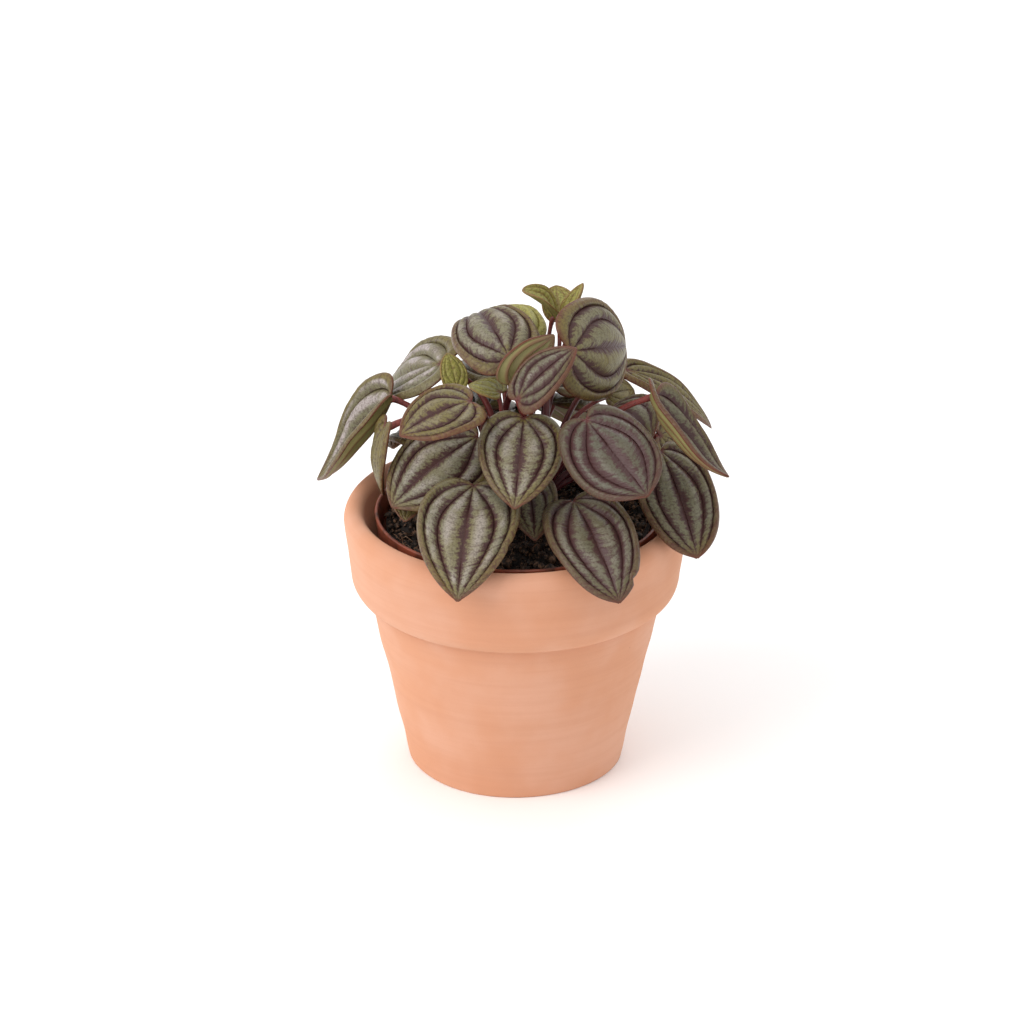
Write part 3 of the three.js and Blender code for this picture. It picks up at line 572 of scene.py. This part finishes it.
def blade_skin(leaf, number):
    """The closed skin of a blade: the middle surface moved out along its normal on both
    sides. The distance is the half thickness, rounded off within that distance of the
    edge. The upper face sinks at the veins and the lower one stands out there, by bells of
    the distance to the vein, and cross-veins run over the upper one as
    sin(2 pi (run - 0.8 vein) / 2.6 + a wander). The distance to a line of constant v is
    |v - line| |Pt x Pv| / |Pt|."""
    small = leaf["width"] < SMALL_LEAF
    rows = SMALL_BLADE_ROWS if small else BLADE_ROWS
    columns = blade_columns()
    t = (1 - np.cos(np.linspace(0, math.pi, rows + 2)[1:-1])) / 2
    t, v = np.meshgrid(t, columns, indexing="ij")
    step = 1e-4
    middle = blade_middle(leaf, t, v, number)
    by_t = (blade_middle(leaf, t + step, v, number)
            - blade_middle(leaf, t - step, v, number)) / (2 * step)
    by_v = (blade_middle(leaf, t, v + step, number)
            - blade_middle(leaf, t, v - step, number)) / (2 * step)
    normal = np.cross(by_v, by_t)
    area = np.linalg.norm(normal, axis=-1)
    normal /= area[..., None]
    if (normal @ leaf_axes(leaf)[3]).mean() < 0:
        normal = -normal
    per_v = area / np.linalg.norm(by_t, axis=-1)
    vein = per_v * np.min([np.abs(v - line) for line in VEINS], axis=0)
    rim = per_v * (1 - np.abs(v))
    moved = np.diff(middle, axis=0, prepend=middle[:1])
    run = np.cumsum(np.linalg.norm(moved, axis=-1), axis=0)
    steps = panel_steps(v)
    crest = 6 * np.min([np.abs(steps - line / 3) for line in range(-2, 3)], axis=0)

    half = BLADE["half"] * (SMALL_BLADE if small else 1.0)
    inside = np.clip(rim / half, 0, 1)
    body = half * np.sqrt(1 - (1 - inside) ** 2)
    flat = np.stack([run, 12 * v, 0 * run], -1)
    phase = 2 * math.pi * (run - RELIEF["cross_slant"] * vein) / RELIEF["cross_step"]
    bend = RELIEF["cross_bend"] * wander(flat, RELIEF["cross_bend_size"], 300 + number)
    ripple = RELIEF["cross_vein"] * np.sin(phase + bend) * (leaf["width"] / USUAL_WIDTH)
    in_panel = np.abs(np.sin(3 * math.pi * steps)) * np.sin(math.pi * t)
    valley = RELIEF["valley"] * np.exp(-(vein / RELIEF["valley_width"]) ** 2)
    ridge = RELIEF["ridge"] * np.exp(-(vein / RELIEF["ridge_width"]) ** 2)
    rise = body + (ripple * in_panel - valley) * inside
    fall = body + ridge * np.clip(1.4 * (1 - t), 0, 1) * inside
    loops = wrapped(middle + normal * rise[..., None], middle - normal * fall[..., None])
    ends = [blade_middle(leaf, np.array([e]), np.array([0.0]), number)[0] for e in (0.0, 1.0)]

    green, painted_sheen, dark, red = leaf["look"]
    own = for_points(number + 1 + 0.35 * v, number + 1, number + 1)
    values = {
        "leaf_map": np.stack([for_points(vein), for_points(rim),
                              for_points(run, 0, run[-1].max())], -1),
        "leaf_panel": for_points(crest),
        "leaf_look": np.tile([green, painted_sheen, dark], (len(own), 1)),
        "leaf_more": np.stack([np.full_like(own, red), own, 0 * own], -1),
    }
    lower = np.arange(loops.shape[1]) >= len(columns) - 1
    face_material = np.concatenate([np.tile(lower, rows - 1), lower, lower])
    return closed_skin(loops, ends), values, face_material


# ------------------------------------------------------------------ stalks and crown

def stalk_route(leaf):
    """Centre line, radius, end point and share of length of a stalk: the cubic Bezier curve
    of the part's source, (1-s)^3 A + 3(1-s)^2 s B + 3(1-s)s^2 C + s^3 D, from the crown, A,
    to just under the joint, D, with B on the way out of A and C on the way into D. Then it
    runs straight through the blade's base, where it swells into the joint's knob."""
    joint, along, _, up, length = leaf_axes(leaf)
    stalk = {**STALK, **leaf["stalk"]}
    start = math.radians(stalk["start"])
    outward = np.array([math.cos(start), math.sin(start), 0.0])
    root = outward * STALK["root_circle"] + [0, 0, STALK["root_z"]]
    leaving = unit(outward * STALK["lean"] + [0, 0, 1])
    slope = math.radians(stalk["arrive"])
    tilt = math.atan(4 * leaf.get("curl", 0) / length)
    blade_up = up * math.cos(tilt) - along * math.sin(tilt)
    arriving = along * math.cos(tilt + slope) + up * math.sin(tilt + slope)
    below = BLADE["half"] + STALK["gap"] + STALK["end"] * math.cos(slope)
    end = joint - blade_up * below
    span = np.linalg.norm(end - root)
    knots = [root, root + stalk["rise"] * span * leaving,
             end - stalk["reach"] * span * arriving, end]
    s = np.linspace(0, 1, STALK_ROWS)
    weights = [(1 - s) ** 3, 3 * (1 - s) ** 2 * s, 3 * (1 - s) * s ** 2, s ** 3]
    path = sum(weight[:, None] * knot for weight, knot in zip(weights, knots))
    top = joint + blade_up * KNOB["up"] + along * KNOB["along"]
    last = end + np.array([0.25, 0.5, 0.75, 0.9])[:, None] * (top - end)
    small = SMALL_STALK if leaf["width"] < SMALL_LEAF else 1.0
    radius = STALK["root"] + (STALK["end"] - STALK["root"]) * s
    radius = radius + KNOB["swell"] * np.exp(-((1 - s) / KNOB["reach"]) ** 2)
    knob = (STALK["end"] + KNOB["swell"]) * np.array([1.0, 0.93, 0.72, 0.45])
    return (np.vstack([path, last]), np.append(radius * (1 + (small - 1) * s), knob * small),
            top, np.append(s, [1, 1, 1, 1]))


def tube(path, radius, sides, end=None, wobble=0.0, seed=0):
    """A round skin along a path: at each point a circle, r (first cos a + second sin a), in
    the plane square to the path. first comes from one fixed direction, the normal of the
    plane that fits the path best, made square to the path's own direction."""
    direction = unit(np.gradient(path, axis=0))
    fixed = np.linalg.svd(path - path.mean(0))[2][2]
    first = unit(fixed - (direction @ fixed)[:, None] * direction)
    second = np.cross(direction, first)
    angle = 2 * math.pi * np.arange(sides) / sides
    circle = first[:, None] * np.cos(angle)[:, None] + second[:, None] * np.sin(angle)[:, None]
    rough = 1 + wobble * wander(path[:, None] + circle * radius[:, None, None], 4, seed)
    grid = path[:, None] + circle * (radius[:, None] * rough)[..., None]
    return closed_skin(grid, (path[0], path[-1] if end is None else end))


def turned_grid(profile, sides):
    """Points (r cos a, r sin a, z) for each (r, z) of a profile and even angles a."""
    radius, height = np.array(profile, float).T[..., None]
    angle = 2 * math.pi * np.arange(sides) / sides
    return np.stack([radius * np.cos(angle), radius * np.sin(angle),
                     np.repeat(height, sides, 1)], -1)


def crown_skin():
    """The crown: the part's knob, turned, with rows at an even angle over its dome, and low
    bumps where older leaves have been, a wander of 5% of the radius."""
    c = CROWN
    angle = np.linspace(0, math.pi / 2, 16)[:-1]
    radius = np.concatenate([[2.5, 4.2, 5.3, 5.85], np.full(7, c["radius"]),
                             c["radius"] * np.cos(angle)])
    height = np.concatenate([c["foot_z"] + np.array([0, 0, 0.3, 0.8]),
                             np.linspace(c["foot_z"] + 1.5, c["shoulder_z"] - 0.6, 7),
                             c["shoulder_z"] + (c["top_z"] - c["shoulder_z"]) * np.sin(angle)])
    grid = turned_grid(np.column_stack([radius, height]), CROWN_SIDES)
    grid[..., :2] *= (1 + 0.05 * wander(grid, 5, 11))[..., None]
    middle = np.array([GROWER["x"], GROWER["y"], 0])
    return closed_skin(grid + middle, (middle + [0, 0, c["foot_z"]], middle + [0, 0, c["top_z"]]))


# ------------------------------------------------------------------ turned shapes

def turned_skin(profile, sides, centre=(0, 0), wobble=0.0, seed=0, poles=()):
    """A profile of (radius, height) points turned about the upright axis. The radius is
    r + wobble times a wander, a share of a millimetre, as in a hand-wiped pot."""
    grid = turned_grid(profile, sides)
    if wobble:
        outward = unit(grid * [1, 1, 0] + 1e-9)
        grid = grid + outward * (wobble * wander(grid * [0.3, 0.3, 1], 14, seed))[..., None]
    grid[..., :2] += centre
    return closed_skin(grid, [(*centre, z) for z in poles])


def arc(centre, radii, start, stop, count):
    """Points centre + (a cos, b sin) of an ellipse, from one angle to another, in degrees."""
    angle = np.radians(np.linspace(start, stop, count))
    return [(centre[0] + radii[0] * math.cos(a), centre[1] + radii[1] * math.sin(a))
            for a in angle]


def line(a, b, count):
    """Points evenly from a to b, without b: a + (b - a) i / count."""
    return [(a[0] + (b[0] - a[0]) * i / count, a[1] + (b[1] - a[1]) * i / count)
            for i in range(count)]


def clay_profile():
    """Outline of the clay pot from its drain hole round the outside, over the lip and down
    the inside. The corners are small arcs."""
    c = CLAY
    e = c["edge"]
    middle, half = (c["rim"] + c["lip_inner"]) / 2, (c["rim"] - c["lip_inner"]) / 2
    foot = (c["foot"], e)
    lip = arc((middle, c["rim_z"]), (half, c["height"] - c["rim_z"]), 0, 180, 17)
    collar = arc((c["shoulder"], c["collar_z"]),
                 (c["collar"] - c["shoulder"], c["collar_z"] - c["shoulder_z"]), -90, 0, 14)
    inner_foot = (c["floor_radius"] + e, c["floor"] + 2 * e)
    drain, d = c["drain"], c["drain_edge"]
    return (line((drain, c["floor"] - d), (drain, d), 4)
            + arc((drain + d, d), (d, d), 180, 270, 4)
            + line((drain + 2 * d, 0), (c["foot"] - e - 0.3, 0), 8)
            + arc((c["foot"] - e, e), (e, e), -90, 0, 6)
            + line(foot, (c["shoulder"], c["shoulder_z"]), 40)[1:]
            + collar[:-1]
            + line((c["collar"], c["collar_z"]), (c["rim"], c["rim_z"]), 14)
            + lip[:-1]
            + line((c["lip_inner"], c["rim_z"]), inner_foot, 30)
            + arc((c["floor_radius"] - e, c["floor"] + 2 * e), (2 * e, 2 * e), 0, -90, 6)
            + line((c["floor_radius"] - 2 * e, c["floor"]), (drain + d, c["floor"]), 8)
            + [(drain + d, c["floor"]), (drain + 0.3 * d, c["floor"] - 0.3 * d)])


def grower_inside(z):
    """Inner radius of the grower's pot at a height: straight from foot to rim band."""
    g = GROWER
    share = (z - g["foot_z"]) / (g["top_z"] - g["rim_depth"] - g["foot_z"])
    return g["foot"] + (g["body"] - g["foot"]) * share - g["wall"]


def grower_profile():
    """Outline of the grower's pot from the middle of its foot, up the outside to a rim
    band and down the inside to the middle of its floor."""
    g = GROWER
    body_top, w = g["top_z"] - g["rim_depth"], g["wall"]
    floor, r = g["foot_z"] + g["wall"], g["foot_round"]
    return (line((CENTRE_RING, g["foot_z"]), (g["foot"] - r, g["foot_z"]), 6)
            + arc((g["foot"] - r, g["foot_z"] + r), (r, r), -90, 0, 6)
            + line((g["foot"], g["foot_z"] + r), (g["body"], body_top), 20)[1:]
            + line((g["body"], body_top), (g["rim_foot"], body_top), 3)
            + line((g["rim_foot"], body_top), (g["rim"], g["top_z"] - 0.4), 10)
            + arc((g["rim"] - w / 2, g["top_z"] - 0.45), (w / 2, 0.45), 0, 180, 9)
            + line((g["rim"] - w, g["top_z"] - 0.5), (g["rim_foot"] - w, body_top + w), 10)[1:]
            + line((g["rim_foot"] - w, body_top + w), (g["body"] - w, body_top), 3)
            + line((g["body"] - w, body_top), (grower_inside(floor + r), floor + r), 20)
            + arc((g["foot"] - r - w, floor + r), (r, r), 0, -90, 6)
            + line((g["foot"] - r - w - 0.3, floor), (CENTRE_RING, floor), 6)
            + [(CENTRE_RING, floor)])


def soil_height(points, share):
    """How far the soil's top stands over its level, share being 0 at its hole and 1 at the
    pot's wall: the part's low waves, (sin(pi x / 17) + cos(pi y / 13)) / 2 times
    sin(pi share), and wanders 7, 3 and 1.6 mm long that are lower near the same two ends."""
    s = SOIL
    wave = (np.sin(math.pi * points[..., 0] / s["wave_x"])
            + np.cos(math.pi * points[..., 1] / s["wave_y"])) / 2
    fade = np.sin(math.pi * np.clip(share, 0, 1))
    flat = points * [1, 1, 0]
    rough = (0.55 * wander(flat, 7, 21) + 0.3 * wander(flat, 3, 22) + 0.2 * wander(flat, 1.6, 23))
    return s["wave"] * wave * fade + rough * np.clip(4 * fade, 0.3, 1)


def soil_share(radius):
    """0 at the edge of the crown's hole in the soil and 1 at the pot's wall."""
    return (radius - SOIL["hole"]) / (SOIL["edge"] - SOIL["hole"])


def soil_skin():
    """The root ball, turned: floor and wall as in the part's source. Its top is raised by
    soil_height, and a plain hole in it takes the crown."""
    g, s = GROWER, SOIL
    foot = g["foot"] - g["foot_round"] - g["wall"] - 0.4
    low = line((CENTRE_RING, s["floor"]), (foot, s["floor"]), 5)
    wall = line((grower_inside(s["floor"] + 1.5) - 0.4, s["floor"] + 1.5),
                (s["edge"], s["top"]), 24)
    top = [(r, s["top"]) for r in np.linspace(s["edge"] - 0.2, s["hole"], SOIL_RINGS)]
    hole = (line((s["hole"], s["top"] - 0.5), (s["hole"], s["hole_floor"]), 8)
            + line((s["hole"], s["hole_floor"]), (CENTRE_RING, s["hole_floor"]), 3))
    grid = turned_grid(low + wall + top + hole, SOIL_SIDES)
    first = len(low) + len(wall)
    upper = grid[first:first + len(top)]
    upper[..., 2] += soil_height(upper, soil_share(np.hypot(upper[..., 0], upper[..., 1])))
    centre = (g["x"], g["y"])
    grid[..., :2] += centre
    return closed_skin(grid, [(*centre, s["floor"]), (*centre, s["hole_floor"])])


def crumb_faces(lattice):
    """The 24 quads of a box of 3 x 3 x 3 points without its middle, faces outwards: four
    on each side, whose corners are looked up by their place in the lattice."""
    index = {tuple(point): number for number, point in enumerate(lattice)}
    ring = [(0, 0), (1, 0), (1, 1), (0, 1)]
    return [[index[tuple(np.roll([sign, a + right, b + up], axis))] for right, up in ring[::sign]]
            for axis in range(3) for sign in (-1, 1) for a in (-1, 0) for b in (-1, 0)]


def crumbs_skin(count, smallest, largest, seed):
    """Crumbs of soil: small boxes of 26 points pushed out to a sphere and squashed and
    turned at random, each half sunk in the soil's top. The size is
    smallest (largest / smallest)^(u^2.2) for an even draw u, so small ones are common."""
    draw = np.random.default_rng(seed)
    steps = (-1, 0, 1)
    lattice = [(x, y, z) for x in steps for y in steps for z in steps if (x, y, z) != (0, 0, 0)]
    ball = unit(np.array(lattice, float))
    share = np.sqrt(draw.uniform(0.03, 1, count))
    reach = SOIL["hole"] + (SOIL["crumb_edge"] - SOIL["hole"]) * share
    turn = draw.uniform(0, 2 * math.pi, count)
    place = np.stack([reach * np.cos(turn), reach * np.sin(turn),
                      np.full(count, float(SOIL["top"]))], -1)
    size = smallest * (largest / smallest) ** (draw.uniform(0, 1, count) ** 2.2)
    place[:, 2] += soil_height(place, share) + 0.35 * size
    stretch = draw.uniform(0.55, 1.25, (count, 1, 3)) * size[:, None, None]
    lumpy = 1 + 0.28 * draw.uniform(-1, 1, (count, len(ball), 1))
    spin = np.linalg.qr(draw.normal(size=(count, 3, 3)))[0]
    spin[np.linalg.det(spin) < 0] *= -1
    points = (ball * lumpy * stretch) @ spin + place[:, None]
    points[..., :2] += (GROWER["x"], GROWER["y"])
    starts = (np.arange(count) * len(ball))[:, None, None]
    quads = np.array(crumb_faces(lattice)) + starts
    return points.reshape(-1, 3), quads.reshape(-1, 4), np.empty((0, 3), int)


def rootlets(count, centre, spread, radius, seed):
    """Fine roots and fibres that lie on the soil: each is a path of 12 even steps whose
    heading adds up small random turns, arched by a sine, with a 5-sided skin."""
    draw = np.random.default_rng(seed)
    skins = []
    for _ in range(count):
        start = np.array(centre) + draw.normal(size=2) * spread
        heading = draw.uniform(0, 2 * math.pi) + np.cumsum(draw.normal(0, 0.35, ROOT_ROWS))
        step = ROOT_LENGTH * draw.uniform(0.5, 1.2) / ROOT_ROWS
        flat = start + np.cumsum(np.stack([np.cos(heading), np.sin(heading)], -1), 0) * step
        flat = flat * np.minimum(1, SOIL["root_edge"] / np.hypot(*flat.T))[:, None]
        path = np.column_stack([flat, np.full(ROOT_ROWS, float(SOIL["top"]))])
        arch = draw.uniform(0.3, 1.6) * np.sin(np.linspace(0.2, math.pi - 0.2, ROOT_ROWS))
        path[:, 2] += soil_height(path, soil_share(np.hypot(*flat.T))) + 0.2 + arch
        path[:, :2] += (GROWER["x"], GROWER["y"])
        skins.append(tube(path, radius * np.linspace(1.0, 0.5, ROOT_ROWS), ROOT_SIDES))
    return joined(skins)


# ------------------------------------------------------------------ make the pieces

# crest is the colour of the painted sheen, a pale highlight painted on the panels' crests
ripe_leaf = leaf_flesh("peperomia_blade_upper", 0.36, panel="#757259", ripe="#706538",
                       crest="#aba19e", band="#442829", margin="#663423", joint="#58282a")
ripe_under = under_flesh("peperomia_blade_under", flesh="#7f794a", veins="#703f33",
                         margin="#6e4c39")
# crest here too is the colour of the painted sheen, a pale highlight painted on the crests
young_leaf = leaf_flesh("young_blade_upper", 0.4, panel="#9a9a58", ripe="#9c9850",
                        crest="#b4b481", band="#826d42", margin="#83603a", joint="#7f5038")
young_under = under_flesh("young_blade_under", flesh="#949655", veins="#856840",
                          margin="#846a42")
stalk_red = stalk_flesh()
clay = fired_clay()
plastic = moulded_plastic()
peat = potting_soil("damp_peat", 0.75, "#120c09", "#33241b")
peat_crumb = potting_soil("peat_crumb", 0.6, "#1a110c", "#82614a")
root_fibre = potting_soil("root_fibre", 0.6, "#6b4a37", "#a68a72")

for number, leaf in enumerate(LEAVES):
    skin, values, face_material = blade_skin(leaf, number)
    young = leaf.get("young", False)
    pale = young or leaf.get("plain", False)
    materials = (young_leaf, young_under) if pale else (ripe_leaf, ripe_under)
    made = piece(f"blade_{number + 1:02d}", skin, materials, values, face_material)
    dress(made, f"leaf_{number + 1:02d}")

stalk_skins, stalk_shares = [], []
for number, leaf in enumerate(LEAVES):
    path, radius, top, share = stalk_route(leaf)
    stalk_skins.append(tube(path, radius, STALK_SIDES, top, wobble=0.03, seed=500 + number))
    stalk_shares.append(np.append(np.repeat(share, STALK_SIDES), [0, 1]))
knob = crown_skin()
stalk_skins.append(knob)
stalk_shares.append(np.zeros(len(knob[0])))
crown = piece("crown_and_stalks", joined(stalk_skins), [stalk_red],
              {"stalk_share": np.concatenate(stalk_shares)})
dress(crown, "crown_and_petioles")

pot = piece("clay_pot", turned_skin(clay_profile(), CLAY_SIDES, wobble=0.12, seed=31), [clay])
dress(pot, "terracotta_pot")

grower_skin = turned_skin(grower_profile(), GROWER_SIDES, (GROWER["x"], GROWER["y"]),
                          poles=(GROWER["foot_z"], GROWER["foot_z"] + GROWER["wall"]))
grower = piece("grower_pot", grower_skin, [plastic])
dress(grower, "nursery_pot")

root_ball = piece("root_ball", soil_skin(), [peat])
dress(root_ball, "soil")

loose = crumbs_skin(2600, smallest=0.35, largest=2.0, seed=41)
crumbs = piece("soil_crumbs", loose, [peat_crumb])
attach(crumbs, "root")

# Roots at the left and the right edge, as in the photo, and some all over
roots = joined([rootlets(12, (-33, -18), spread=5, radius=0.15, seed=51),
                rootlets(8, (35, -12), spread=4, radius=0.15, seed=52),
                rootlets(30, (0, 0), spread=22, radius=0.14, seed=53)])
fibres = piece("root_fibres", roots, [root_fibre])
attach(fibres, "root")

# ------------------------------------------------------------------ floor, light, camera

FLOOR = 6                                  # metres from the middle to each side
floor_mesh = bpy.data.meshes.new("floor")
floor_mesh.from_pydata([(-FLOOR, -FLOOR, 0), (FLOOR, -FLOOR, 0), (FLOOR, FLOOR, 0),
                        (-FLOOR, FLOOR, 0)], [], [(0, 1, 2, 3)])
# Seamless background paper: matt and white, so that only the pot's shadow shows
floor_material, _, _ = surface("studio_paper", {"Base Color": srgb("#ffffff"), "Roughness": 0.9})
floor_mesh.materials.append(floor_material)
floor = bpy.data.objects.new("floor", floor_mesh)
bpy.context.scene.collection.objects.link(floor)


def lamp(name, place, target, size, power, colour):
    """A square area light that faces a point; metres and watts."""
    data = bpy.data.lights.new(name, "AREA")
    data.shape = "SQUARE"
    data.size = size
    data.energy = power
    data.color = srgb(colour)[:3]
    made = bpy.data.objects.new(name, data)
    made.location = place
    aim = Vector(target) - Vector(place)
    made.rotation_euler = aim.to_track_quat("-Z", "Y").to_euler()
    bpy.context.scene.collection.objects.link(made)


PLANT_MIDDLE = (0, 0, 0.09)
lamp("key", (-1.0, -0.7, 1.1), PLANT_MIDDLE, 1.1, 12.5, "#fffaf5")
lamp("back", (0.3, 1.1, 1.2), PLANT_MIDDLE, 1.0, 3.0, "#ffffff")

world = bpy.data.worlds.new("studio")
world.use_nodes = True
background = world.node_tree.nodes["Background"]
background.inputs["Color"].default_value = srgb("#ffffff")
background.inputs["Strength"].default_value = 1.0
bpy.context.scene.world = world

# The photograph's view: 24.8 degrees down, from 1.5 m, on a long lens
VIEW_DOWN = math.radians(24.8)
VIEW_DISTANCE = 1.5
AIM = (-0.0012, 0.0, 0.0853)
camera_data = bpy.data.cameras.new("camera")
camera_data.sensor_width = 36
camera_data.lens = 164.64
camera = bpy.data.objects.new("camera", camera_data)
camera.location = (AIM[0], AIM[1] - VIEW_DISTANCE * math.cos(VIEW_DOWN),
                   AIM[2] + VIEW_DISTANCE * math.sin(VIEW_DOWN))
camera.rotation_euler = (math.pi / 2 - VIEW_DOWN, 0, 0)
bpy.context.scene.collection.objects.link(camera)
bpy.context.scene.camera = camera
bpy.context.scene.view_settings.view_transform = "Standard"
